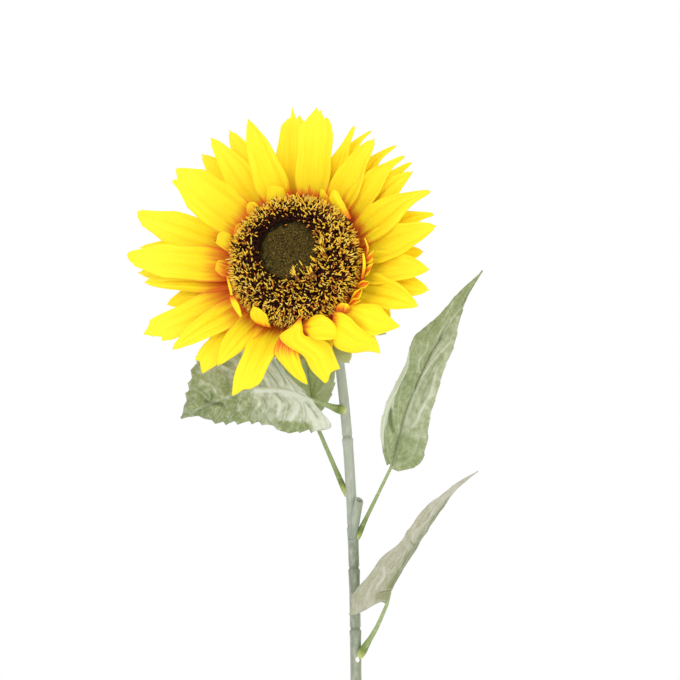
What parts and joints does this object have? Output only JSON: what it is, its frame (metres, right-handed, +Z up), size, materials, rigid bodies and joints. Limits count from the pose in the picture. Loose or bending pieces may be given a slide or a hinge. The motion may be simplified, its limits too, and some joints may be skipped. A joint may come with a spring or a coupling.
{
  "type": "artificial sunflower",
  "caption": "Artificial sunflower on an upright ringed stem, with one broad yellow bloom that nods forwards, a dark brown disc and pointed grey-green leaves on thin stalks.",
  "frame": {"origin": "middle of the stem's flat cut foot, at ground level", "axes": "+Z up along the stem, the bloom looks towards -Y, +X to the right of someone who faces the bloom"},
  "size_m": [0.21, 0.0909, 0.6095],
  "materials": {
    "stem": "pale grey-green moulded sleeve, slightly mottled",
    "stalk": "green moulded sleeve",
    "leaf": "printed cloth with pale raised veins",
    "calyx": "green moulded cup",
    "sepal": "printed green cloth",
    "petal": "pleated cloth, yellow with an orange root",
    "floret": "dark brown plush with gold tips",
    "felt": "dark olive felt"
  },
  "bodies": {
    "root": {"main_stem": "stem", "leaf_stalk_upper_left": "stalk", "leaf_upper_left": "leaf", "leaf_stalk_rear_left": "stalk", "leaf_rear_left": "leaf", "leaf_stalk_upper_right": "stalk", "leaf_upper_right": "leaf", "leaf_stalk_lower_right": "stalk", "leaf_lower_right": "leaf", "sepal_layer_back": "sepal", "sepal_layer_front": "sepal", "petal_layer_back": "petal", "petal_layer_middle": "petal", "petal_layer_front": "petal", "petal_layer_curls": "petal", "calyx_cup": "calyx", "disc_floret_ring": "floret", "disc_centre": "felt"}
  },
  "joints": []
}
